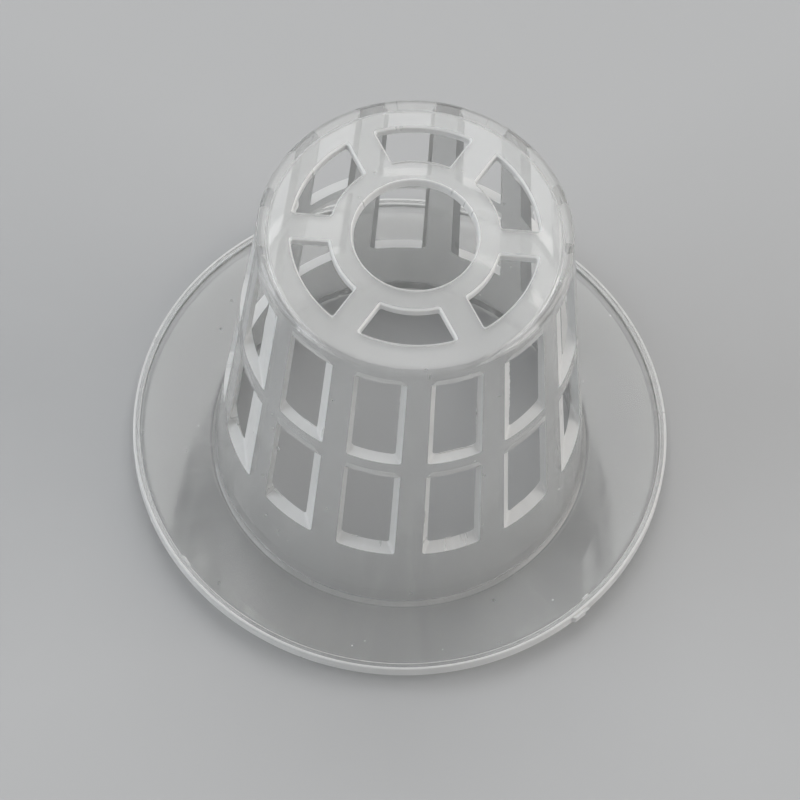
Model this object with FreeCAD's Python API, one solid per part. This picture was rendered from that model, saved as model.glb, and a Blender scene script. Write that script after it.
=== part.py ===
import FreeCAD, Part
import math
import os

# Hydroponic net pot, moulded in one piece: a tapered perforated basket with a wide thin flange
# round its mouth.  It stands on its mouth.  Origin: centre of the mouth, on the rest plane.
# +Z runs up the axis to the perforated base.  The front is -Y, and azimuths are counted from
# the front towards +X.  Lengths in millimetres, angles in degrees.

# Flange
FLANGE_DIAMETER = 64.0
FLANGE_THICKNESS = 1.0
FLANGE_DISH = 1.7  # how far the flange's edge stands above its root
RIM_WIDTH = 0.85  # lip round the flange's edge
RIM_DEPTH = 1.7  # height of the lip's outer face
RIM_ROOT_BEVEL = 0.55  # inside corner where the lip meets the flange
RIM_BEVEL = 0.12

# Basket
FOOT_DIAMETER = 44.4  # outside of the basket where it leaves the flange
BASE_DIAMETER = 35.9  # outside of the basket at the base
HEIGHT = 50.0
WALL_AT_MOUTH = 1.45  # measured across the axis
WALL_AT_BASE = 1.1
BASE_THICKNESS = 1.2
BASE_EDGE_RADIUS = 0.8
BASE_CORNER_BEVEL = 0.35  # inside corner between wall and base
FOOT_BEVEL = 0.4  # outside corner between basket and flange

# Openings in the base
CENTRE_HOLE_DIAMETER = 14.3  # at the outer face of the base
CENTRE_HOLE_DRAFT = 0.2  # how much its radius shrinks through the base
SLOT_INNER_DIAMETER = 19.6
SLOT_OUTER_DIAMETER = 28.2
SPOKE_COUNT = 6
SPOKE_WIDTH = 3.5
SLOT_CORNER_RADIUS = 0.3

# Windows: two storeys, parted by a hoop.  Their edges are given at the outer face.
WINDOW_COUNT = 13
WINDOW_ANGLE = 19.0
FRONT_BAR_AZIMUTH = 5.6  # middle of the bar nearest the front
SILL_HEIGHT = 12.0
HOOP_HEIGHT = 28.6  # underside of the hoop
HOOP_THICKNESS = 2.75
LINTEL_DEPTH = 2.4  # solid band between the base's face and the upper windows

# How far a window closes in from the outer face to the inner one.  Its top edge is cut square.
WINDOW_SIDE_BEVEL = 0.65
LOWER_SILL_BEVEL = 0.5
UPPER_SILL_BEVEL = 0.15
WINDOW_CORNER_RADIUS = 0.4
CORNER_SHARE = 0.4  # a corner's radius stays under this share of a narrow window's width

# Each window is cleared along the travel of the mould slide that forms it.
FRONT_SLIDE_REACH = 75.0  # windows up to this far round from the front bar
REAR_SLIDE_REACH = 60.0  # windows up to this far round from the rear; the rest are cut radially

# Gate stub, left on the rim where the moulding was cut from its runner
GATE_AZIMUTH = 45.3
GATE_WIDTH = 2.3
GATE_PROJECTION = 0.35
GATE_HEIGHT = 1.1

# Margins of the cutting tools
OVERCUT = 2.0
PUNCH_OVERRUN = 0.4  # share of the wall by which a window's cutter passes each face

FLANGE_RADIUS = FLANGE_DIAMETER / 2
RIM_INNER_RADIUS = FLANGE_RADIUS - RIM_WIDTH
RIM_TOP = FLANGE_DISH + RIM_DEPTH
FOOT_OUTER_RADIUS = FOOT_DIAMETER / 2
BASE_OUTER_RADIUS = BASE_DIAMETER / 2
BASE_UNDERSIDE = HEIGHT - BASE_THICKNESS
UP = FreeCAD.Vector(0, 0, 1)


def outer_radius(z):
    """Radius of the basket's outer face at height z."""
    rise = (z - FLANGE_THICKNESS) / (HEIGHT - FLANGE_THICKNESS)
    return FOOT_OUTER_RADIUS + (BASE_OUTER_RADIUS - FOOT_OUTER_RADIUS) * rise


def wall(z):
    """Thickness of the basket's wall at height z, across the axis."""
    return WALL_AT_MOUTH + (WALL_AT_BASE - WALL_AT_MOUTH) * z / HEIGHT


def inner_radius(z):
    """Radius of the basket's inner face at height z."""
    return outer_radius(z) - wall(z)


def flange_underside(radius):
    """Height of the dished flange's underside at a radius."""
    return FLANGE_DISH * (radius - FOOT_OUTER_RADIUS) / (FLANGE_RADIUS - FOOT_OUTER_RADIUS)


def direction(azimuth):
    """Horizontal unit vector at an azimuth counted from the front towards +X."""
    angle = math.radians(azimuth)
    return FreeCAD.Vector(math.sin(angle), -math.cos(angle), 0)


def around(azimuth, reference):
    """Azimuth as an offset from a reference, between -180 and 180 degrees."""
    return (azimuth - reference + 180) % 360 - 180


def ring(solid, radius, z):
    """The circular edge of a turned solid that has this radius and height."""
    for edge in solid.Edges:
        curve = edge.Curve
        if isinstance(curve, Part.Circle):
            if abs(curve.Radius - radius) < 1e-6 and abs(curve.Center.z - z) < 1e-6:
                return edge
    raise RuntimeError("no ring of radius %.3f at height %.3f" % (radius, z))


def bevelled(corners):
    """Outline through (radius, height, bevel) corners, each cut back by its bevel."""
    points = [FreeCAD.Vector(radius, 0, z) for radius, z, bevel in corners]
    outline = []
    for index, corner in enumerate(points):
        bevel = corners[index][2]
        if bevel == 0:
            outline.append(corner)
            continue
        before = points[index - 1] - corner
        after = points[(index + 1) % len(points)] - corner
        outline.append(corner + before * (bevel / before.Length))
        outline.append(corner + after * (bevel / after.Length))
    return outline


def turned_body():
    """The whole section, turned about the axis, before anything is cut from it."""
    rim_root = flange_underside(RIM_INNER_RADIUS) + FLANGE_THICKNESS
    section = bevelled([
        (0, BASE_UNDERSIDE, 0),
        (inner_radius(BASE_UNDERSIDE), BASE_UNDERSIDE, BASE_CORNER_BEVEL),
        (inner_radius(0), 0, 0),
        (FOOT_OUTER_RADIUS, 0, 0),
        (FLANGE_RADIUS, FLANGE_DISH, RIM_BEVEL),
        (FLANGE_RADIUS, RIM_TOP, RIM_BEVEL),
        (RIM_INNER_RADIUS, RIM_TOP, RIM_BEVEL),
        (RIM_INNER_RADIUS, rim_root, RIM_ROOT_BEVEL),
        (FOOT_OUTER_RADIUS, FLANGE_THICKNESS, FOOT_BEVEL),
        (BASE_OUTER_RADIUS, HEIGHT, 0),
        (0, HEIGHT, 0),
    ])
    face = Part.Face(Part.makePolygon(section + section[:1]))
    body = face.revolve(FreeCAD.Vector(0, 0, 0), UP, 360)
    return body.makeFillet(BASE_EDGE_RADIUS, [ring(body, BASE_OUTER_RADIUS, HEIGHT)])


def gate_stub():
    """A short block across the flange's edge at the gate, with its outer corners bevelled."""
    length = GATE_PROJECTION + RIM_WIDTH / 2
    block = Part.makeBox(length, GATE_WIDTH, GATE_HEIGHT)
    outer = []
    for edge in block.Edges:
        if edge.BoundBox.XMin > length / 2 and edge.BoundBox.ZLength > GATE_HEIGHT / 2:
            outer.append(edge)
    block = block.makeChamfer(GATE_PROJECTION, outer)
    bottom = FLANGE_DISH + (RIM_DEPTH - GATE_HEIGHT) / 2
    block.translate(FreeCAD.Vector(FLANGE_RADIUS - RIM_WIDTH / 2, -GATE_WIDTH / 2, bottom))
    block.rotate(FreeCAD.Vector(0, 0, 0), UP, GATE_AZIMUTH - 90)
    return block


def centre_hole():
    """Cutter of the round hole in the base, drafted so that it is widest outside."""
    slope = CENTRE_HOLE_DRAFT / BASE_THICKNESS
    low_radius = CENTRE_HOLE_DIAMETER / 2 - slope * (BASE_THICKNESS + OVERCUT)
    high_radius = CENTRE_HOLE_DIAMETER / 2 + slope * OVERCUT
    depth = BASE_THICKNESS + 2 * OVERCUT
    return Part.makeCone(low_radius, high_radius, depth, UP * (BASE_UNDERSIDE - OVERCUT))


def base_slots():
    """Cutter of the ring of slots: an annulus, less the spokes that cross it."""
    low = UP * (BASE_UNDERSIDE - OVERCUT)
    depth = BASE_THICKNESS + 2 * OVERCUT
    annulus = Part.makeCylinder(SLOT_OUTER_DIAMETER / 2, depth, low)
    annulus = annulus.cut(Part.makeCylinder(SLOT_INNER_DIAMETER / 2, depth, low))
    spokes = []
    for index in range(SPOKE_COUNT):
        spoke = Part.makeBox(SLOT_OUTER_DIAMETER, SPOKE_WIDTH, depth)
        spoke.translate(low - FreeCAD.Vector(0, SPOKE_WIDTH / 2, 0))
        spoke.rotate(FreeCAD.Vector(0, 0, 0), UP, 360 * index / SPOKE_COUNT)
        spokes.append(spoke)
    slots = annulus.cut(Part.makeCompound(spokes))
    corners = [edge for edge in slots.Edges if edge.BoundBox.ZLength > depth / 2]
    return slots.makeFillet(SLOT_CORNER_RADIUS, corners)


def slide_azimuth(azimuth):
    """Direction in which the slide that forms the window at this azimuth travels."""
    rear = FRONT_BAR_AZIMUTH + 180
    if abs(around(azimuth, FRONT_BAR_AZIMUTH)) <= FRONT_SLIDE_REACH:
        return FRONT_BAR_AZIMUTH
    if abs(around(azimuth, rear)) <= REAR_SLIDE_REACH:
        return rear
    return azimuth


def foreshortening(azimuth):
    """Share of a window's width that its slide sees."""
    return math.cos(math.radians(around(azimuth, slide_azimuth(azimuth))))


def window_outline(azimuth, bottom, top, sill_bevel, depth):
    """Corners of a window at a share of the wall's depth: 0 is the outer face, 1 the inner."""
    skew = foreshortening(azimuth)
    half_angle = math.radians(WINDOW_ANGLE / 2)
    inward = direction(slide_azimuth(azimuth)) * (depth * wall((bottom + top) / 2) / skew)
    sill = bottom + depth * sill_bevel
    corners = []
    for side, z in ((-1, sill), (1, sill), (1, top), (-1, top)):
        half_width = outer_radius(z) * math.sin(half_angle) - depth * WINDOW_SIDE_BEVEL / skew
        corner = direction(azimuth) * (outer_radius(z) * math.cos(half_angle))
        corner = corner + direction(azimuth + 90) * (side * half_width) + UP * z
        corners.append(corner - inward)
    return corners


def window_cutter(azimuth, bottom, top, sill_bevel):
    """Bevelled punch of one window, with its two lower corners rounded."""
    outside = window_outline(azimuth, bottom, top, sill_bevel, -PUNCH_OVERRUN)
    inside = window_outline(azimuth, bottom, top, sill_bevel, 1 + PUNCH_OVERRUN)
    loops = [outside, inside]
    for index in range(4):
        after = (index + 1) % 4
        loops.append([outside[index], outside[after], inside[after], inside[index]])
    faces = [Part.Face(Part.makePolygon(loop + loop[:1])) for loop in loops]
    punch = Part.makeSolid(Part.makeShell(faces))
    lower = []
    for edge in punch.Edges:
        for start, end in zip(outside[:2], inside[:2]):
            if (edge.CenterOfMass - (start + end) * 0.5).Length < 1e-6:
                lower.append(edge)
    narrowest = (inside[1] - inside[0]).Length * foreshortening(azimuth)
    return punch.makeFillet(min(WINDOW_CORNER_RADIUS, CORNER_SHARE * narrowest), lower)


def windows():
    """The cutters of both storeys of windows."""
    storeys = [
        (SILL_HEIGHT, HOOP_HEIGHT, LOWER_SILL_BEVEL),
        (HOOP_HEIGHT + HOOP_THICKNESS, HEIGHT - LINTEL_DEPTH, UPPER_SILL_BEVEL),
    ]
    cutters = []
    for index in range(WINDOW_COUNT):
        azimuth = FRONT_BAR_AZIMUTH + (index + 0.5) * 360 / WINDOW_COUNT
        for bottom, top, sill_bevel in storeys:
            cutters.append(window_cutter(azimuth, bottom, top, sill_bevel))
    return cutters


def net_pot():
    """The finished moulding."""
    body = turned_body().fuse(gate_stub())
    return body.cut([centre_hole(), base_slots()] + windows())


os.makedirs("parts", exist_ok=True)
pot = net_pot()
if len(pot.Solids) != 1 or not pot.isValid():
    raise RuntimeError("the net pot is not one valid solid")
pot.Solids[0].exportStep("parts/net_pot.step")
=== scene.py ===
"""Hydroponic net pot, moulded in one piece from natural polypropylene, laid out as an add-on.

It stands on its mouth.  The origin is the centre of the mouth, +Z runs up to the perforated base,
the front is -Y, and azimuths are counted from the front towards +X.  Lengths are in metres.
"""

import math
import random

import bmesh
import bpy
from mathutils import Matrix, Vector


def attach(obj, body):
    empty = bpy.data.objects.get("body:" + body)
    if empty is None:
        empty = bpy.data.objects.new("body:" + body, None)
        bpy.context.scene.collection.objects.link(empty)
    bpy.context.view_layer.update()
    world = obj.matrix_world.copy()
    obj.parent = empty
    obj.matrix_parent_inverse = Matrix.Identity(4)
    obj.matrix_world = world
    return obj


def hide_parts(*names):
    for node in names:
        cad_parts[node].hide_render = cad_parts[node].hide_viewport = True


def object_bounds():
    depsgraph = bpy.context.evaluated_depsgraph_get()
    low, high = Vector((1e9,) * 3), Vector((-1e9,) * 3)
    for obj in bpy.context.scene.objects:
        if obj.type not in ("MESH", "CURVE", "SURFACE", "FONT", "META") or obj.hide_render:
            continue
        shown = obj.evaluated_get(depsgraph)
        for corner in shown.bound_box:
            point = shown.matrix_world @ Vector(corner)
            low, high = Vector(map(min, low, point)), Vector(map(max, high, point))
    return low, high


bl_info = {
    "name": "Hydroponic Net Pot",
    "version": (1, 0, 0),
    "blender": (4, 5, 0),
    "location": "View3D > Sidebar > Net Pot",
    "description": "Builds a moulded net pot with its windows, flash and studio",
    "category": "Add Mesh",
}

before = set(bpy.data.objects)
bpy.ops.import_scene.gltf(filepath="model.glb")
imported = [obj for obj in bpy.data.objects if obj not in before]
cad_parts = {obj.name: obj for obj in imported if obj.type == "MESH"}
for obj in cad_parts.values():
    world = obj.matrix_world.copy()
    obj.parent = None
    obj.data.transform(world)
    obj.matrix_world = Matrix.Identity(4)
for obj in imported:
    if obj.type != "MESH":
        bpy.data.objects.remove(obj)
CAD_LOW, CAD_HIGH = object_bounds()

MM = 0.001
TURN = 2 * math.pi
NODE = "net_pot"
BODY = "root"


def length(name, millimetres, description):
    """A length property whose default is given in millimetres."""
    return bpy.props.FloatProperty(
        name=name, description=description, default=millimetres * MM,
        unit="LENGTH", subtype="DISTANCE", precision=5,
    )


def angle(name, degrees, description):
    """An angle property whose default is given in degrees."""
    return bpy.props.FloatProperty(
        name=name, description=description, default=math.radians(degrees),
        unit="ROTATION", subtype="ANGLE",
    )


def share(name, default, description):
    """A property between 0 and 1."""
    return bpy.props.FloatProperty(
        name=name, description=description, default=default, min=0, max=1, subtype="FACTOR"
    )


def colour(name, default, description):
    """A colour property."""
    return bpy.props.FloatVectorProperty(
        name=name, description=description, default=default, min=0, max=1, size=3,
        subtype="COLOR",
    )


class NetPotSizes(bpy.types.PropertyGroup):
    """Sizes of the moulding."""

    flange_radius: length("Flange radius", CAD_HIGH.x / MM, "From the axis to the flange's edge")
    flange_thickness: length("Flange thickness", 1.0, "Thickness of the flange")
    flange_dish: length("Flange dish", 1.7, "How far the flange's edge stands above its root")
    lip_width: length("Lip width", 0.85, "Width of the lip round the flange's edge")
    lip_height: length("Lip height", 1.7, "Height of the lip's outer face")
    lip_root: length("Lip root radius", 0.75, "Hollow where the lip meets the flange")
    edge_round: length("Edge radius", 0.14, "Rounding of the moulding's outside edges")
    foot_radius: length("Foot radius", 22.2, "Outside of the basket where it leaves the flange")
    foot_round: length("Foot round", 0.8, "Hollow between basket and flange")
    base_radius: length("Base radius", 17.95, "Outside of the basket at the base")
    height: length("Height", CAD_HIGH.z / MM, "From the mouth to the base's outer face")
    wall_at_mouth: length("Wall at the mouth", 1.45, "Wall thickness at the mouth")
    wall_at_base: length("Wall at the base", 1.1, "Wall thickness at the base")
    base_thickness: length("Base thickness", 1.2, "Thickness of the base")
    base_round: length("Base edge radius", 0.8, "Rounding between wall and base")
    inner_round: length("Inner corner radius", 0.5, "Hollow between wall and base, inside")
    hole_radius: length("Centre hole radius", 7.15, "Radius of the hole at the outer face")
    hole_draft: length("Centre hole draft", 0.2, "How much the hole narrows inwards")
    hole_round: length("Centre hole edge", 0.2, "Rounding of the hole's outer edge")
    slot_inner: length("Slot inner radius", 9.8, "Inner radius of the ring of base slots")
    slot_outer: length("Slot outer radius", 14.1, "Outer radius of the ring of base slots")
    spoke_width: length("Spoke width", 3.5, "Width of the spokes between the base slots")
    slot_round: length("Slot corner radius", 0.3, "Corner radius of the base slots")
    slot_flare: length("Slot flare", 0.2, "How far the base slots' outer edges flare")
    window_angle: angle("Window angle", 19.0, "Angle that a window spans at the outer face")
    front_bar: angle("Front bar", 5.6, "Azimuth of the bar nearest the front")
    sill_height: length("Sill height", 12.0, "Bottom of the lower windows")
    hoop_height: length("Hoop height", 28.6, "Underside of the hoop between the storeys")
    hoop_thickness: length("Hoop thickness", 2.75, "Height of the hoop")
    lintel: length("Lintel", 2.4, "Solid band over the upper windows")
    side_bevel: length("Side bevel", 0.65, "How far a window's sides close in through the wall")
    lower_bevel: length("Lower sill bevel", 0.5, "How far the lower sills rise inwards")
    upper_bevel: length("Upper sill bevel", 0.15, "How far the upper sills rise inwards")
    window_round: length("Window corner radius", 0.4, "Radius of a window's lower corners")
    front_reach: angle("Front slide reach", 75.0, "Windows cleared by the front slide")
    rear_reach: angle("Rear slide reach", 60.0, "Windows cleared by the rear slide")
    gate_azimuth: angle("Gate azimuth", 45.3, "Where the moulding was cut from its runner")
    gate_width: length("Gate width", 2.3, "Width of the gate's stub")
    gate_stand: length("Gate projection", 0.35, "How far the gate's stub stands out")
    gate_height: length("Gate height", 1.1, "Height of the gate's stub")


class NetPotLook(bpy.types.PropertyGroup):
    """Colours and finish."""

    plastic: colour("Plastic", (0.93, 0.935, 0.93), "Colour of the natural polypropylene")
    clarity: share("Clarity", 0.82, "Share of the light that goes through the polished faces")
    roughness: share("Roughness", 0.07, "Roughness of the polished faces")
    ripple: share("Ripple", 0.15, "Unevenness of the polished faces")
    cut_clarity: share("Clarity of the openings", 0.35, "Clarity of the openings' own faces")
    cut_roughness: share("Roughness of the openings", 0.3, "Roughness of the openings' faces")
    cut_ripple: share("Ripple of the openings", 0.3, "Unevenness of the openings' faces")
    floor: colour("Floor", (0.50, 0.505, 0.51), "Colour of the floor")


# Counts that shape the moulding
WINDOW_COUNT = 13
SLOT_COUNT = 6
ROUND_STEPS = 5  # divisions of a rounded corner
RING_STEPS = 360  # divisions of a turn
PLAIN_STEPS = 4  # divisions of the flange and wall between two corners
ARC_STEPS = 20  # divisions of a base slot's long sides
OVERCUT = 2.0 * MM  # how far the slot punches reach below the base
PUNCH_OVERRUN = 0.4  # share of the wall by which a window punch passes both its faces
PUNCH_HEIGHT = 2.0  # of the plain punch, in mm, before the nodes give it its size
PUNCH_CORNER = 0.2  # the same for its rounded corners
CORNER_LIMIT = 0.8  # share of a window's half width that its corners may take

LIP_FROST = 0.4 * MM  # width of the whitened edge round the lip's top
HAIR = 0.01 * MM  # margin in telling where a band of the section lies

# Flash: slivers of plastic that crept into the mould's joints
FLASH_THICKNESS = 0.07 * MM
FLASH_DEPTH = 0.8  # share of the wall at which the slides meet the core
FLASH_ROOT = 0.12 * MM  # how far a sliver is rooted in the wall
FLASH_STEP = 0.3 * MM
FLASH_LEAST_STEPS = 3
FLASH_LEAST_WIDTH = 0.45  # share of its width that a sliver keeps along its length
FLASH_SEED = 5
# Window, storey, edge (0 sill, 1 right, 2 top, 3 left), start and end along it, width in mm
WINDOW_FLASH = (
    (0, 1, 0, 0.08, 0.95, 0.22), (0, 1, 1, 0.02, 0.70, 0.20), (0, 0, 0, 0.35, 0.50, 0.28),
    (1, 1, 3, 0.12, 0.92, 0.24), (1, 1, 2, 0.04, 0.30, 0.30), (1, 0, 0, 0.10, 0.45, 0.16),
    (12, 0, 0, 0.20, 0.36, 0.26), (12, 1, 1, 0.55, 0.85, 0.12),
    (11, 0, 0, 0.10, 0.34, 0.32), (11, 1, 0, 0.62, 0.95, 0.22), (11, 0, 3, 0.42, 0.46, 0.55),
    (10, 0, 0, 0.15, 0.80, 0.34), (10, 1, 1, 0.30, 0.60, 0.16),
    (5, 1, 0, 0.20, 0.80, 0.18), (7, 0, 1, 0.10, 0.55, 0.18), (3, 1, 3, 0.25, 0.60, 0.20),
)
# Start and end azimuth in degrees, width in mm
SLOT_FLASH = ((254.5, 262.0, 0.38), (126.5, 130.5, 0.26), (103.5, 110.5, 0.34))
LIP_FLASH = ((-64.0, -61.0, 0.24), (-40.0, -5.0, 0.07), (46.4, 48.0, 0.55))
LIP_INNER_FLASH = ((-52.2, -49.0, 0.30), (48.0, 49.8, 0.45))
SLOT_FLASH_DEPTH = 0.75  # share of the base's thickness, from its outer face
LIP_FLASH_HEIGHT = 0.55  # share of the lip's height at which its halves met
LIP_INNER_FLASH_DROP = 1.5  # edge radii below the lip's top


class Value:
    """A node socket that takes part in sums: an expression on it adds Math nodes."""

    def __init__(self, tree, socket):
        self.tree = tree
        self.socket = socket

    def math(self, operation, *others):
        return self.tree.node("ShaderNodeMath", {"operation": operation}, [self, *others])

    def __add__(self, other):
        return self.math("ADD", other)

    def __radd__(self, other):
        return self.math("ADD", other)

    def __sub__(self, other):
        return self.math("SUBTRACT", other)

    def __rsub__(self, other):
        return self.tree.node("ShaderNodeMath", {"operation": "SUBTRACT"}, [other, self])

    def __mul__(self, other):
        return self.math("MULTIPLY", other)

    def __rmul__(self, other):
        return self.math("MULTIPLY", other)

    def __truediv__(self, other):
        return self.math("DIVIDE", other)

    def __rtruediv__(self, other):
        return self.tree.node("ShaderNodeMath", {"operation": "DIVIDE"}, [other, self])

    def __abs__(self):
        return self.math("ABSOLUTE")

    def __lt__(self, other):
        return self.math("LESS_THAN", other)

    def __gt__(self, other):
        return self.math("GREATER_THAN", other)


class Nodes:
    """A node tree that is filled through one method."""

    def __init__(self, tree):
        self.tree = tree

    def node(self, kind, settings=None, values=None, out=0):
        """Adds a node: settings first, then its sockets' values or links; gives one output."""
        made = self.tree.nodes.new(kind)
        for name, setting in (settings or {}).items():
            setattr(made, name, setting)
        pairs = values.items() if isinstance(values, dict) else enumerate(values or [])
        for key, value in pairs:
            socket = made.inputs[key]
            if isinstance(value, Value):
                self.tree.links.new(value.socket, socket)
            elif value is not None:
                socket.default_value = value
        return Value(self, made.outputs[out]) if len(made.outputs) else None

    def vector(self, x, y, z):
        return self.node("ShaderNodeCombineXYZ", values=[x, y, z])

    def inputs(self, kinds):
        """Makes the group's inputs from {name: socket type} and gives {name: Value}."""
        for name, kind in kinds.items():
            self.tree.interface.new_socket(name=name, in_out="INPUT", socket_type=kind)
        entry = self.tree.nodes.new("NodeGroupInput")
        return {name: Value(self, entry.outputs[name]) for name in kinds}

    def output(self, geometry):
        """Ends the tree in its one geometry output."""
        self.tree.interface.new_socket(
            name="Geometry", in_out="OUTPUT", socket_type="NodeSocketGeometry"
        )
        leave = self.tree.nodes.new("NodeGroupOutput")
        self.tree.links.new(geometry.socket, leave.inputs[0])


def add_object(name, mesh):
    """Links a new object that shows a mesh."""
    made = bpy.data.objects.new(name, mesh)
    bpy.context.scene.collection.objects.link(made)
    return made


def mesh_from(name, vertices, faces):
    """A mesh from points and faces, with its faces pointing outwards."""
    mesh = bpy.data.meshes.new(name)
    mesh.from_pydata(vertices, [], faces)
    work = bmesh.new()
    work.from_mesh(mesh)
    bmesh.ops.recalc_face_normals(work, faces=work.faces)
    work.to_mesh(mesh)
    work.free()
    return mesh


def fill_inputs(modifier, values):
    """Sets a Geometry Nodes modifier's inputs from {name: value}."""
    for item in modifier.node_group.interface.items_tree:
        if item.item_type == "SOCKET" and item.in_out == "INPUT" and item.name in values:
            modifier[item.identifier] = values[item.name]


def settle(made, name):
    """Turns an object with modifiers into a plain one with the same shape."""
    graph = bpy.context.evaluated_depsgraph_get()
    mesh = bpy.data.meshes.new_from_object(
        made.evaluated_get(graph), preserve_all_data_layers=True, depsgraph=graph
    )
    bpy.data.objects.remove(made)
    mesh.name = name
    return add_object(name, mesh)


def outer_radius(sizes, z):
    """Radius of the basket's outer face at height z."""
    rise = (z - sizes.flange_thickness) / (sizes.height - sizes.flange_thickness)
    return sizes.foot_radius + (sizes.base_radius - sizes.foot_radius) * rise


def wall(sizes, z):
    """Thickness of the basket's wall at height z, across the axis."""
    return sizes.wall_at_mouth + (sizes.wall_at_base - sizes.wall_at_mouth) * z / sizes.height


def inner_radius(sizes, z):
    """Radius of the basket's inner face at height z."""
    return outer_radius(sizes, z) - wall(sizes, z)


def flange_underside(sizes, radius):
    """Height of the dished flange's underside at a radius."""
    reach = (radius - sizes.foot_radius) / (sizes.flange_radius - sizes.foot_radius)
    return sizes.flange_dish * reach


def section_corners(sizes):
    """Corners of the section as (radius, height, rounding), round its whole outline."""
    underside = sizes.height - sizes.base_thickness
    lip_inner = sizes.flange_radius - sizes.lip_width
    lip_top = sizes.flange_dish + sizes.lip_height
    edge = sizes.edge_round
    return [
        (sizes.hole_radius - sizes.hole_draft, underside, edge / 2),
        (inner_radius(sizes, underside), underside, sizes.inner_round),
        (inner_radius(sizes, 0), 0, edge),
        (sizes.foot_radius, 0, 0),
        (sizes.flange_radius, sizes.flange_dish, edge),
        (sizes.flange_radius, lip_top, edge),
        (lip_inner, lip_top, edge),
        (lip_inner, flange_underside(sizes, lip_inner) + sizes.flange_thickness, sizes.lip_root),
        (sizes.foot_radius, sizes.flange_thickness, sizes.foot_round),
        (sizes.base_radius, sizes.height, sizes.base_round),
        (sizes.hole_radius, sizes.height, sizes.hole_round),
    ]


def section_bands(sizes):
    """The section as short runs: (start, end, normal at start, normal at end)."""
    corners = section_corners(sizes)
    count = len(corners)
    points = [Vector(corner[:2]) for corner in corners]
    rounds = []
    for index, point in enumerate(points):
        before = (points[index - 1] - point).normalized()
        after = (points[(index + 1) % count] - point).normalized()
        half = before.angle(after) / 2
        radius = corners[index][2]
        reach = radius / math.tan(half)
        middle = point + (before + after).normalized() * (radius / math.sin(half))
        outward = 1 if before.cross(after) < 0 else -1
        rounds.append((point + before * reach, point + after * reach, middle, radius, outward))
    bands = []
    for index, (enter, leave, middle, radius, outward) in enumerate(rounds):
        if radius > 0:
            first = (enter - middle) * outward
            last = (leave - middle) * outward
            turn = first.angle_signed(last)
            spokes = [
                Matrix.Rotation(-turn * step / ROUND_STEPS, 2) @ first
                for step in range(ROUND_STEPS + 1)
            ]
            for start, end in zip(spokes, spokes[1:]):
                ends = (middle + start * outward, middle + end * outward)
                bands.append((*ends, start.normalized(), end.normalized()))
        target = rounds[(index + 1) % count][0]
        along = (target - leave).normalized()
        normal = Vector((along.y, -along.x))
        for step in range(PLAIN_STEPS):
            start = leave.lerp(target, step / PLAIN_STEPS)
            end = leave.lerp(target, (step + 1) / PLAIN_STEPS)
            bands.append((start, end, normal, normal))
    return bands


def is_frosted(sizes, band):
    """True for the bands that scatter light: the lip's faces, the mouth and the centre hole."""
    start, end = band[:2]
    lip_inner = sizes.flange_radius - sizes.lip_width
    outside = min(start.x, end.x) > sizes.flange_radius - LIP_FROST
    above = min(start.y, end.y) > sizes.flange_dish + HAIR
    inner_edge = (
        min(start.y, end.y) > sizes.flange_dish + sizes.lip_height - sizes.edge_round - HAIR
        and max(start.x, end.x) < lip_inner + sizes.edge_round + HAIR
        and min(start.x, end.x) > lip_inner - HAIR
    )
    mouth = max(start.y, end.y) < HAIR
    hole = (
        max(start.x, end.x) < sizes.hole_radius + sizes.hole_round + HAIR
        and min(start.y, end.y) > sizes.height - sizes.base_thickness - HAIR
    )
    return outside and above or inner_edge or mouth or hole


def turned_mesh(sizes, bands):
    """The section turned about the axis; each face keeps the number of its band, from 1."""
    vertices, faces = [], []
    for step in range(RING_STEPS):
        turn = TURN * step / RING_STEPS
        for start, _end, _first, _last in bands:
            vertices.append((start.x * math.sin(turn), -start.x * math.cos(turn), start.y))
    count = len(bands)
    for step in range(RING_STEPS):
        here, there = step * count, (step + 1) % RING_STEPS * count
        for band in range(count):
            after = (band + 1) % count
            faces.append((here + band, there + band, there + after, here + after))
    mesh = mesh_from("turned body", vertices, faces)
    frosted = [int(is_frosted(sizes, band)) for band in bands]
    mesh.polygons.foreach_set("material_index", [frosted[n % count] for n in range(len(faces))])
    marks = mesh.attributes.new("band", "INT", "FACE")
    marks.data.foreach_set("value", [1 + number % count for number in range(len(faces))])
    return mesh


def plug_mesh(sizes):
    """A window punch before it is put in its place: its shape is held in attributes."""
    quarter = [math.pi / 2 * step / ROUND_STEPS for step in range(ROUND_STEPS + 1)]
    outline = [(-1, 0, 1 - math.cos(turn), 1 - math.sin(turn)) for turn in quarter]
    outline += [(1, 0, 1 - math.sin(turn), 1 - math.cos(turn)) for turn in quarter]
    outline += [(1, 1, 0, 0), (-1, 1, 0, 0)]
    count = len(outline)
    rows = [(-PUNCH_OVERRUN, corner) for corner in outline]
    rows += [(1 + PUNCH_OVERRUN, corner) for corner in outline]
    places = [
        (
            (side - side * shift * PUNCH_CORNER) * MM, depth * MM,
            (level * PUNCH_HEIGHT + rise * PUNCH_CORNER) * MM,
        )
        for depth, (side, level, shift, rise) in rows
    ]
    faces = [tuple(range(count)), tuple(range(2 * count - 1, count - 1, -1))]
    for index in range(count):
        after = (index + 1) % count
        faces.append((index, after, count + after, count + index))
    mesh = mesh_from("window punch", places, faces)
    fields = {
        "side": [row[1][0] for row in rows],
        "level": [row[1][1] for row in rows],
        "shift": [row[1][2] for row in rows],
        "rise": [row[1][3] for row in rows],
        "depth": [row[0] for row in rows],
    }
    for name, values in fields.items():
        mesh.attributes.new(name, "FLOAT", "POINT").data.foreach_set("value", values)
    return mesh


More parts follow.
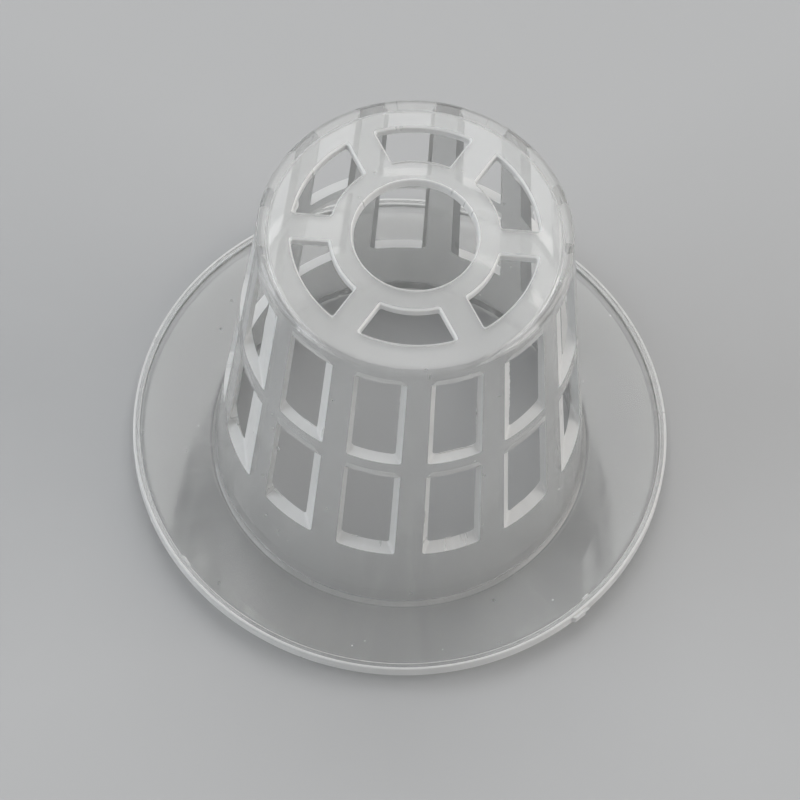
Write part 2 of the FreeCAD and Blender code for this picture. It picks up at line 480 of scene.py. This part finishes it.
def window_tree():
    """Geometry Nodes that set a ring of window punches in two storeys."""
    nodes = Nodes(bpy.data.node_groups.new("Window punches", "GeometryNodeTree"))
    decimal = "NodeSocketFloat"
    given = nodes.inputs({
        "Plug": "NodeSocketGeometry", "Count": "NodeSocketInt",
        "Front bar": decimal, "Window angle": decimal,
        "Front reach": decimal, "Rear reach": decimal,
        "Sill": decimal, "Hoop": decimal, "Hoop thickness": decimal, "Top": decimal,
        "Foot radius": decimal, "Base radius": decimal, "Root": decimal, "Height": decimal,
        "Wall at mouth": decimal, "Wall at base": decimal, "Side bevel": decimal,
        "Lower bevel": decimal, "Upper bevel": decimal, "Corner radius": decimal,
        "Material": "NodeSocketMaterial",
    })

    def stored(name):
        return nodes.node(
            "GeometryNodeInputNamedAttribute", {"data_type": "FLOAT"}, {"Name": name}
        )

    count = given["Count"]
    spots = nodes.node("GeometryNodeMeshLine", values={"Count": count * 2})
    number = nodes.node("GeometryNodeInputIndex")
    spots = nodes.node(
        "GeometryNodeStoreNamedAttribute", {"data_type": "FLOAT", "domain": "POINT"},
        {"Geometry": spots, "Name": "number", "Value": number},
    )
    ring = nodes.node(
        "GeometryNodeInstanceOnPoints", values={"Points": spots, "Instance": given["Plug"]}
    )
    ring = nodes.node("GeometryNodeRealizeInstances", values={"Geometry": ring})

    storey = (stored("number") / count).math("FLOOR")
    azimuth = given["Front bar"] + (stored("number") + 0.5) * TURN / count
    from_front = abs((azimuth - given["Front bar"]).math("WRAP", math.pi, -math.pi))
    by_front = from_front < given["Front reach"]
    by_rear = (math.pi - from_front) < given["Rear reach"]
    # The slide's own direction, or the window's where no slide reaches
    turned = azimuth - given["Front bar"]
    slide = azimuth - by_front * turned + by_rear * (math.pi - turned)
    skew = (azimuth - slide).math("COSINE")

    bottom = given["Sill"] + storey * (given["Hoop"] + given["Hoop thickness"] - given["Sill"])
    top = given["Hoop"] + storey * (given["Top"] - given["Hoop"])
    bevel = given["Lower bevel"] + storey * (given["Upper bevel"] - given["Lower bevel"])
    depth = stored("depth")
    sill = bottom + depth * bevel
    level = sill + stored("level") * (top - sill)
    rise = (level - given["Root"]) / (given["Height"] - given["Root"])
    radius = given["Foot radius"] + (given["Base radius"] - given["Foot radius"]) * rise
    middle = (bottom + top) / 2 / given["Height"]
    wall_here = given["Wall at mouth"] + (given["Wall at base"] - given["Wall at mouth"]) * middle
    half = given["Window angle"] / 2
    half_width = radius * half.math("SINE") - depth * given["Side bevel"] / skew
    corner = given["Corner radius"].math("MINIMUM", half_width * skew * CORNER_LIMIT)
    sideways = stored("side") * (half_width - stored("shift") * corner / skew)
    outwards = radius * half.math("COSINE")
    inwards = depth * wall_here / skew
    sine, cosine = azimuth.math("SINE"), azimuth.math("COSINE")
    place = nodes.vector(
        outwards * sine + sideways * cosine - inwards * slide.math("SINE"),
        sideways * sine - outwards * cosine + inwards * slide.math("COSINE"),
        level + stored("rise") * corner,
    )
    ring = nodes.node(
        "GeometryNodeSetPosition", values={"Geometry": ring, "Position": place}
    )
    ring = nodes.node("GeometryNodeRealizeInstances", values={"Geometry": ring})
    nodes.output(nodes.node(
        "GeometryNodeSetMaterial", values={"Geometry": ring, "Material": given["Material"]}
    ))
    return nodes.tree


def window_punches(sizes, material):
    """All the window punches as one object."""
    made = add_object("window punches", plug_mesh(sizes))
    modifier = made.modifiers.new("Ring", "NODES")
    modifier.node_group = window_tree()
    fill_inputs(modifier, {
        "Count": WINDOW_COUNT,
        "Front bar": sizes.front_bar, "Window angle": sizes.window_angle,
        "Front reach": sizes.front_reach, "Rear reach": sizes.rear_reach,
        "Sill": sizes.sill_height, "Hoop": sizes.hoop_height,
        "Hoop thickness": sizes.hoop_thickness, "Top": sizes.height - sizes.lintel,
        "Foot radius": sizes.foot_radius, "Base radius": sizes.base_radius,
        "Root": sizes.flange_thickness, "Height": sizes.height,
        "Wall at mouth": sizes.wall_at_mouth, "Wall at base": sizes.wall_at_base,
        "Side bevel": sizes.side_bevel, "Lower bevel": sizes.lower_bevel,
        "Upper bevel": sizes.upper_bevel, "Corner radius": sizes.window_round,
        "Material": material,
    })
    return settle(made, "window punches")


def fan(centre, first, last):
    """Points of a rounded corner about its centre, between two of its radii."""
    turn = first.angle_signed(last)
    return [
        centre + Matrix.Rotation(-turn * step / ROUND_STEPS, 2) @ first
        for step in range(ROUND_STEPS + 1)
    ]


def bearing(azimuth):
    """Unit vector seen from above, at an azimuth."""
    return Vector((math.sin(azimuth), -math.cos(azimuth)))


def slot_outline(sizes, grown=0.0):
    """Outline of the front base slot seen from above, with its corners rounded."""
    corner, spoke = sizes.slot_round, TURN / SLOT_COUNT / 2
    inner, outer = sizes.slot_inner - grown, sizes.slot_outer + grown
    across = bearing(spoke + math.pi / 2) * corner
    reaches, sides = [], []
    for radius in (inner + corner, outer - corner):
        turn = spoke - math.asin((sizes.spoke_width / 2 - grown + corner) / radius)
        reaches.append(turn)
        out = bearing(turn)
        if radius < outer - corner:
            sides += fan(out * radius, -out * corner, across)
        else:
            sides += fan(out * radius, across, out * corner)
    outline = list(sides)
    for step in range(1, ARC_STEPS):
        outline.append(bearing(reaches[1] * (1 - 2 * step / ARC_STEPS)) * outer)
    outline += [Vector((-point.x, point.y)) for point in reversed(sides)]
    for step in range(1, ARC_STEPS):
        outline.append(bearing(reaches[0] * (2 * step / ARC_STEPS - 1)) * inner)
    return outline


def stack(name, levels):
    """A block built up from (height, outline) levels, all with as many points."""
    count = len(levels[0][1])
    places = [(point.x, point.y, z) for z, outline in levels for point in outline]
    top = count * (len(levels) - 1)
    faces = [tuple(range(count)), tuple(range(top + count - 1, top - 1, -1))]
    for base in range(0, top, count):
        for index in range(count):
            after = (index + 1) % count
            faces.append((base + index, base + after, base + count + after, base + count + index))
    return mesh_from(name, places, faces)


def slot_tree():
    """Geometry Nodes that repeat one punch round the axis."""
    nodes = Nodes(bpy.data.node_groups.new("Base slots", "GeometryNodeTree"))
    given = nodes.inputs({
        "Slot": "NodeSocketGeometry", "Count": "NodeSocketInt", "Material": "NodeSocketMaterial",
    })
    spots = nodes.node(
        "GeometryNodeMeshLine", values={"Count": given["Count"], "Offset": (0.0, 0.0, 0.0)}
    )
    spots = nodes.node(
        "GeometryNodeStoreNamedAttribute", {"data_type": "FLOAT", "domain": "POINT"},
        {"Geometry": spots, "Name": "number", "Value": nodes.node("GeometryNodeInputIndex")},
    )
    number = nodes.node(
        "GeometryNodeInputNamedAttribute", {"data_type": "FLOAT"}, {"Name": "number"}
    )
    ring = nodes.node(
        "GeometryNodeInstanceOnPoints",
        values={
            "Points": spots, "Instance": given["Slot"],
            "Rotation": nodes.vector(0.0, 0.0, number * TURN / given["Count"]),
        },
    )
    ring = nodes.node("GeometryNodeRealizeInstances", values={"Geometry": ring})
    nodes.output(nodes.node(
        "GeometryNodeSetMaterial", values={"Geometry": ring, "Material": given["Material"]}
    ))
    return nodes.tree


def slot_punches(sizes, material):
    """The base slots' punches as one object, each with a flared outer edge."""
    low, flare = sizes.height - sizes.base_thickness - OVERCUT, sizes.slot_flare
    plain = slot_outline(sizes)
    levels = [(low, plain), (sizes.height - flare, plain)]
    levels.append((sizes.height + flare, slot_outline(sizes, 2 * flare)))
    made = add_object("slot punches", stack("slot punch", levels))
    modifier = made.modifiers.new("Ring", "NODES")
    modifier.node_group = slot_tree()
    fill_inputs(modifier, {"Count": SLOT_COUNT, "Material": material})
    return settle(made, "slot punches")


def gate_stub(sizes):
    """The stub at the gate: a short bevelled block across the flange's edge."""
    inner, outer = sizes.flange_radius - sizes.lip_width / 2, sizes.flange_radius
    tip, half, bevel = outer + sizes.gate_stand, sizes.gate_width / 2, sizes.gate_stand
    flat = [
        Vector((inner, -half)), Vector((outer, -half)), Vector((tip, bevel - half)),
        Vector((tip, half - bevel)), Vector((outer, half)), Vector((inner, half)),
    ]
    low = sizes.flange_dish + (sizes.lip_height - sizes.gate_height) / 2
    mesh = stack("gate stub", [(low, flat), (low + sizes.gate_height, flat)])
    mesh.transform(Matrix.Rotation(sizes.gate_azimuth - math.pi / 2, 4, "Z"))
    return add_object("gate stub", mesh)


def window_corners(sizes, window, storey, depth):
    """A window's four corners at a depth of the wall: the sill's two, then the top's two."""
    azimuth = sizes.front_bar + (window + 0.5) * TURN / WINDOW_COUNT
    lower = (sizes.sill_height, sizes.hoop_height, sizes.lower_bevel)
    upper = (
        sizes.hoop_height + sizes.hoop_thickness, sizes.height - sizes.lintel, sizes.upper_bevel,
    )
    bottom, top, bevel = (lower, upper)[storey]
    away = (azimuth - sizes.front_bar + math.pi) % TURN - math.pi
    slide = azimuth
    if abs(away) < sizes.front_reach:
        slide = sizes.front_bar
    if math.pi - abs(away) < sizes.rear_reach:
        slide = sizes.front_bar + math.pi
    skew = math.cos(azimuth - slide)
    inwards = bearing(slide) * (depth * wall(sizes, (bottom + top) / 2) / skew)
    corners = []
    sill = bottom + depth * bevel
    for side, z in ((-1, sill), (1, sill), (1, top), (-1, top)):
        radius = outer_radius(sizes, z)
        half_width = radius * math.sin(sizes.window_angle / 2) - depth * sizes.side_bevel / skew
        flat = bearing(azimuth) * radius * math.cos(sizes.window_angle / 2)
        flat += bearing(azimuth + math.pi / 2) * side * half_width - inwards
        corners.append(Vector((flat.x, flat.y, z)))
    return corners


def film(feet, tips, normal):
    """A closed sliver of flash between a line of feet and a ragged line of tips."""
    half = normal.normalized() * FLASH_THICKNESS / 2
    rim = list(feet) + list(reversed(tips))
    count = len(rim)
    places = [point - half for point in rim] + [point + half for point in rim]
    faces = []
    last = len(feet) - 1
    for index in range(last):
        quad = (index, index + 1, count - 2 - index, count - 1 - index)
        faces += [quad, tuple(count + corner for corner in reversed(quad))]
    for index in range(count):
        after = (index + 1) % count
        faces.append((index, count + index, count + after, after))
    return places, faces


def ragged(steps, width, draw):
    """Widths of a film along its length: uneven, and running out at both ends."""
    widths = []
    for step in range(steps + 1):
        swell = math.sin(math.pi * (step + 0.5) / (steps + 1)) ** 0.5
        widths.append(width * swell * draw.uniform(FLASH_LEAST_WIDTH, 1.0))
    return widths


def window_film(sizes, window, storey, edge, start, end, width, draw):
    """Flash along part of a window's edge: 0 sill, 1 right, 2 top, 3 left."""
    corners = window_corners(sizes, window, storey, FLASH_DEPTH)
    first, last = corners[edge], corners[(edge + 1) % 4]
    centre = sum(corners, Vector()) / 4
    along = (last - first).normalized()
    normal = (corners[1] - corners[0]).cross(corners[3] - corners[0])
    inward = (centre - first) - along * (centre - first).dot(along)
    inward.normalize()
    steps = int((last - first).length * (end - start) / FLASH_STEP)
    steps = max(FLASH_LEAST_STEPS, steps)
    feet, tips = [], []
    for step, reach in enumerate(ragged(steps, width * MM, draw)):
        foot = first.lerp(last, start + (end - start) * step / steps)
        feet.append(foot - inward * FLASH_ROOT)
        tips.append(foot + inward * reach)
    return film(feet, tips, normal)


def ring_film(radius, z, start, end, width, draw, outwards):
    """Flash along part of a circle: over a base slot's edge, or standing off the lip."""
    steps = int(radius * math.radians(end - start) / FLASH_STEP)
    steps = max(FLASH_LEAST_STEPS, steps)
    side = 1 if outwards else -1
    feet, tips = [], []
    for step, reach in enumerate(ragged(steps, width * MM, draw)):
        flat = bearing(math.radians(start + (end - start) * step / steps))
        foot, tip = flat * (radius - side * FLASH_ROOT), flat * (radius + side * reach)
        feet.append(Vector((foot.x, foot.y, z)))
        tips.append(Vector((tip.x, tip.y, z)))
    return film(feet, tips, Vector((0, 0, 1)))


def flash_films(sizes):
    """All the slivers of flash, joined in one object."""
    draw = random.Random(FLASH_SEED)
    films = [window_film(sizes, *row, draw) for row in WINDOW_FLASH]
    slot_z = sizes.height - sizes.base_thickness * SLOT_FLASH_DEPTH
    films += [
        ring_film(sizes.slot_outer, slot_z, start, end, width, draw, False)
        for start, end, width in SLOT_FLASH
    ]
    lip_z = sizes.flange_dish + sizes.lip_height * LIP_FLASH_HEIGHT
    films += [
        ring_film(sizes.flange_radius, lip_z, start, end, width, draw, True)
        for start, end, width in LIP_FLASH
    ]
    inner_z = sizes.flange_dish + sizes.lip_height - sizes.edge_round * LIP_INNER_FLASH_DROP
    films += [
        ring_film(sizes.flange_radius - sizes.lip_width, inner_z, start, end, width, draw, False)
        for start, end, width in LIP_INNER_FLASH
    ]
    places, faces = [], []
    for film_places, film_faces in films:
        base = len(places)
        places += film_places
        faces += [tuple(base + corner for corner in face) for face in film_faces]
    return add_object("flash", mesh_from("flash", places, faces))


def combine(made, other, operation):
    """Adds a Boolean of another object."""
    modifier = made.modifiers.new(other.name, "BOOLEAN")
    modifier.operation = operation
    modifier.solver = "MANIFOLD"
    modifier.material_mode = "TRANSFER"
    modifier.object = other


def smooth_turned_faces(mesh, bands):
    """Gives the turned faces the normals of the section they were turned from."""
    marks = [0] * len(mesh.polygons)
    mesh.attributes["band"].data.foreach_get("value", marks)
    normals = [(0.0, 0.0, 0.0)] * len(mesh.loops)
    for face in mesh.polygons:
        face.use_smooth = marks[face.index] > 0
        if not face.use_smooth:
            continue
        start, end, first, last = bands[marks[face.index] - 1]
        run = end - start
        for loop in face.loop_indices:
            place = mesh.vertices[mesh.loops[loop].vertex_index].co
            radius = math.hypot(place.x, place.y)
            along = (Vector((radius, place.z)) - start).dot(run) / run.dot(run)
            flat = first.lerp(last, min(1.0, max(0.0, along))).normalized()
            normals[loop] = (flat.x * place.x / radius, flat.x * place.y / radius, flat.y)
    mesh.attributes.remove(mesh.attributes["band"])
    mesh.normals_split_custom_set(normals)


def make_material(name):
    """A new node material and its empty tree."""
    material = bpy.data.materials.new(name)
    material.use_nodes = True
    material.node_tree.nodes.clear()
    return material, Nodes(material.node_tree)


def mix_result(nodes, mixed):
    """The colour output of a Mix node."""
    return Value(nodes, next(
        socket for socket in mixed.socket.node.outputs if socket.type == "RGBA"
    ))


def dimmed(tone, factor):
    """A colour with full alpha, darkened by a factor."""
    return (*[factor * part for part in tone], 1)


# The grain of the plastic: noise scales are in copies per metre, apart from the flow's
PLASTIC_IOR = 1.49
PLASTIC_DIM = 0.93  # the plastic's darker places, against its colour
FLOW_SCALE = 14.0  # copies over the unit circle that the flow lines are spread round
FLOW_RISE = 9.0  # how fast the flow lines change with height
FLOW_CONTRAST = 3.0
MOTTLE_SCALE = 190.0
WAVE_SCALE = 330.0
RIPPLE_DEPTH = 0.1 * MM
DUST_SCALE = 420.0
SPECK_SIZE = 0.06  # in dust cells
SPECK_SHARE = 0.52  # specks show where the mottle is above this
FLOOR_DIM = 0.99
FLOOR_GRAIN = 30.0
FLOOR_ROUGHNESS = 0.9
FLOOR_SPECULAR = 0.1


def plastic_material(name, look, clarity, roughness, ripple):
    """Natural polypropylene: milky clear, with flow lines that run away from the axis."""
    material, nodes = make_material(name)
    place = nodes.node("ShaderNodeTexCoord", out="Object")
    level = nodes.node("ShaderNodeVectorMath", {"operation": "MULTIPLY"},
                       [place, (1.0, 1.0, 0.0)])
    spoke = nodes.node("ShaderNodeVectorMath", {"operation": "NORMALIZE"}, [level])
    height = nodes.node("ShaderNodeSeparateXYZ", values=[place], out="Z")
    drift = nodes.vector(0.0, 0.0, height * FLOW_RISE)
    along = nodes.node("ShaderNodeVectorMath", {"operation": "ADD"}, [spoke, drift])
    flow = nodes.node(
        "ShaderNodeTexNoise", values={"Vector": along, "Scale": FLOW_SCALE, "Detail": 4.0}
    )
    streaks = flow.math("POWER", FLOW_CONTRAST) * FLOW_CONTRAST
    mottle = nodes.node(
        "ShaderNodeTexNoise", values={"Vector": place, "Scale": MOTTLE_SCALE, "Detail": 3.0}
    )
    dust = nodes.node(
        "ShaderNodeTexVoronoi", {"feature": "F1"},
        {"Vector": place, "Scale": DUST_SCALE, "Randomness": 1.0}, out="Distance",
    )
    specks = (dust < SPECK_SIZE) * (mottle > SPECK_SHARE)
    waves = nodes.node(
        "ShaderNodeTexNoise", values={"Vector": place, "Scale": WAVE_SCALE, "Detail": 1.5}
    )
    tint = nodes.node(
        "ShaderNodeMix", {"data_type": "RGBA"},
        {
            "Factor": streaks * 0.7 + mottle * 0.3,
            "A": dimmed(look.plastic, PLASTIC_DIM), "B": dimmed(look.plastic, 1),
        },
    )
    bump = nodes.node(
        "ShaderNodeBump",
        values={
            "Strength": ripple, "Distance": RIPPLE_DEPTH,
            "Height": waves * 0.5 + flow * 0.3 + specks * 0.8,
        },
    )
    surface = nodes.node(
        "ShaderNodeBsdfPrincipled",
        values={
            "Base Color": mix_result(nodes, tint),
            "Roughness": roughness * (0.6 + mottle * 0.4 + streaks * 1.2) + specks * 0.4,
            "IOR": PLASTIC_IOR, "Transmission Weight": clarity, "Normal": bump,
        },
    )
    nodes.node("ShaderNodeOutputMaterial", values={"Surface": surface})
    return material


class NETPOT_OT_moulding(bpy.types.Operator):
    """Builds the one-piece moulding with its base slots and its two storeys of windows"""

    bl_idname = "netpot.moulding"
    bl_label = "Moulding"

    def execute(self, context):
        sizes, look = context.scene.net_pot_sizes, context.scene.net_pot_look
        polished = plastic_material(
            "Natural polypropylene", look, look.clarity, look.roughness, look.ripple
        )
        frosted = plastic_material(
            "Natural polypropylene, frosted", look,
            look.cut_clarity, look.cut_roughness, look.cut_ripple,
        )
        bands = section_bands(sizes)
        body = add_object("turned body", turned_mesh(sizes, bands))
        body.data.materials.append(polished)
        body.data.materials.append(frosted)
        stub, flash = gate_stub(sizes), flash_films(sizes)
        windows, slots = window_punches(sizes, frosted), slot_punches(sizes, frosted)
        for added in (stub, flash):
            added.data.materials.append(frosted)
        combine(body, stub, "UNION")
        combine(body, windows, "DIFFERENCE")
        combine(body, slots, "DIFFERENCE")
        combine(body, flash, "UNION")
        pot = settle(body, "net_pot_moulding")
        for tool in (stub, flash, windows, slots):
            bpy.data.objects.remove(tool)
        if len(pot.data.polygons) < RING_STEPS:
            raise RuntimeError("the moulding came out empty")
        smooth_turned_faces(pot.data, bands)
        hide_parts(NODE)
        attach(pot, BODY)
        return {"FINISHED"}


# The viewpoint, in millimetres and degrees
VIEW_DISTANCE = 680.0
VIEW_ELEVATION = 61.643
VIEW_ROLL = 4.443
VIEW_AIM = (-0.29, 3.70, 3.71)
SENSOR = 36.0
LENS = 254.64
CLIP_NEAR, CLIP_FAR = 0.05, 20  # in metres

# Each lamp's name, place and size in metres, watts and tint
LAMPS = (
    ("left", (-0.62, -0.12, 0.32), (0.60, 0.60), 2.6, (0.93, 0.965, 1.0)),
    ("right", (0.62, -0.06, 0.30), (0.55, 0.55), 2.4, (1.0, 0.965, 0.925)),
    ("top", (0.0, 0.40, 0.76), (0.60, 0.50), 2.2, (1.0, 1.0, 1.0)),
)
WORLD_STRENGTH = 0.35
FLOOR_REACH = 3.0  # from the axis to the floor's edges, in metres
FLOOR_GAP = 0.08 * MM  # keeps the floor off the mouth's own face


def place_camera(scene):
    """A long lens that looks down on the pot from the front."""
    lens = bpy.data.cameras.new("camera")
    lens.sensor_width = SENSOR
    lens.lens = LENS
    lens.clip_start, lens.clip_end = CLIP_NEAR, CLIP_FAR
    camera = bpy.data.objects.new("camera", lens)
    scene.collection.objects.link(camera)
    elevation = math.radians(VIEW_ELEVATION)
    turn = Matrix.Rotation(math.pi / 2 - elevation, 4, "X")
    roll = Matrix.Rotation(math.radians(VIEW_ROLL), 4, "Z")
    back = turn @ Vector((0, 0, VIEW_DISTANCE * MM))
    camera.matrix_world = Matrix.Translation(Vector(VIEW_AIM) * MM + back) @ turn @ roll
    scene.camera = camera


def area_lamp(scene, name, place, size, watts, tint):
    """A rectangular soft lamp aimed at the middle of the pot."""
    lamp = bpy.data.lights.new(name, "AREA")
    lamp.shape = "RECTANGLE"
    lamp.size, lamp.size_y = size
    lamp.energy = watts
    lamp.color = tint
    made = bpy.data.objects.new(name, lamp)
    scene.collection.objects.link(made)
    aim = Vector((0, 0, CAD_HIGH.z / 2)) - Vector(place)
    turn = aim.to_track_quat("-Z", "Y").to_matrix().to_4x4()
    made.matrix_world = Matrix.Translation(place) @ turn


def floor_material(look):
    """Matt pale paint with a faint unevenness."""
    material, nodes = make_material("Pale floor")
    place = nodes.node("ShaderNodeTexCoord", out="Object")
    grain = nodes.node("ShaderNodeTexNoise", values={"Vector": place, "Scale": FLOOR_GRAIN})
    tint = nodes.node(
        "ShaderNodeMix", {"data_type": "RGBA"},
        {"Factor": grain, "A": dimmed(look.floor, FLOOR_DIM), "B": dimmed(look.floor, 1)},
    )
    surface = nodes.node(
        "ShaderNodeBsdfPrincipled",
        values={
            "Base Color": mix_result(nodes, tint), "Roughness": FLOOR_ROUGHNESS,
            "Specular IOR Level": FLOOR_SPECULAR,
        },
    )
    nodes.node("ShaderNodeOutputMaterial", values={"Surface": surface})
    return material


class NETPOT_OT_stage(bpy.types.Operator):
    """Builds the floor, the soft lamps, the world and the camera"""

    bl_idname = "netpot.stage"
    bl_label = "Stage"

    def execute(self, context):
        scene = context.scene
        half, low = FLOOR_REACH, -FLOOR_GAP
        corners = [(-half, -half, low), (half, -half, low), (half, half, low), (-half, half, low)]
        mesh = bpy.data.meshes.new("floor")
        mesh.from_pydata(corners, [], [(0, 1, 2, 3)])
        mesh.materials.append(floor_material(scene.net_pot_look))
        floor = add_object("floor", mesh)
        for lamp in LAMPS:
            area_lamp(scene, *lamp)
        world = bpy.data.worlds.new("studio")
        world.use_nodes = True
        nodes = Nodes(world.node_tree)
        world.node_tree.nodes.clear()
        light = nodes.node(
            "ShaderNodeBackground",
            values={"Color": (1.0, 1.0, 1.0, 1.0), "Strength": WORLD_STRENGTH},
        )
        nodes.node("ShaderNodeOutputWorld", values={"Surface": light})
        scene.world = world
        scene.view_settings.view_transform = "Standard"
        place_camera(scene)
        return {"FINISHED"}


class NETPOT_PT_panel(bpy.types.Panel):
    """Lists the pieces and their sizes"""

    bl_idname = "NETPOT_PT_panel"
    bl_label = "Net Pot"
    bl_space_type = "VIEW_3D"
    bl_region_type = "UI"
    bl_category = "Net Pot"

    def draw(self, context):
        column = self.layout.column()
        for step in STEPS:
            column.operator(step.bl_idname)
        for group in (context.scene.net_pot_sizes, context.scene.net_pot_look):
            for name in group.__annotations__:
                column.prop(group, name)


STEPS = (NETPOT_OT_moulding, NETPOT_OT_stage)
CLASSES = (NetPotSizes, NetPotLook, *STEPS, NETPOT_PT_panel)


def register():
    for item in CLASSES:
        bpy.utils.register_class(item)
    bpy.types.Scene.net_pot_sizes = bpy.props.PointerProperty(type=NetPotSizes)
    bpy.types.Scene.net_pot_look = bpy.props.PointerProperty(type=NetPotLook)


def unregister():
    del bpy.types.Scene.net_pot_look
    del bpy.types.Scene.net_pot_sizes
    for item in reversed(CLASSES):
        bpy.utils.unregister_class(item)


def main():
    """Builds the whole scene."""
    register()
    for step in STEPS:
        group, name = step.bl_idname.split(".")
        getattr(getattr(bpy.ops, group), name)()
    bpy.context.view_layer.update()


if __name__ == "__main__":
    main()
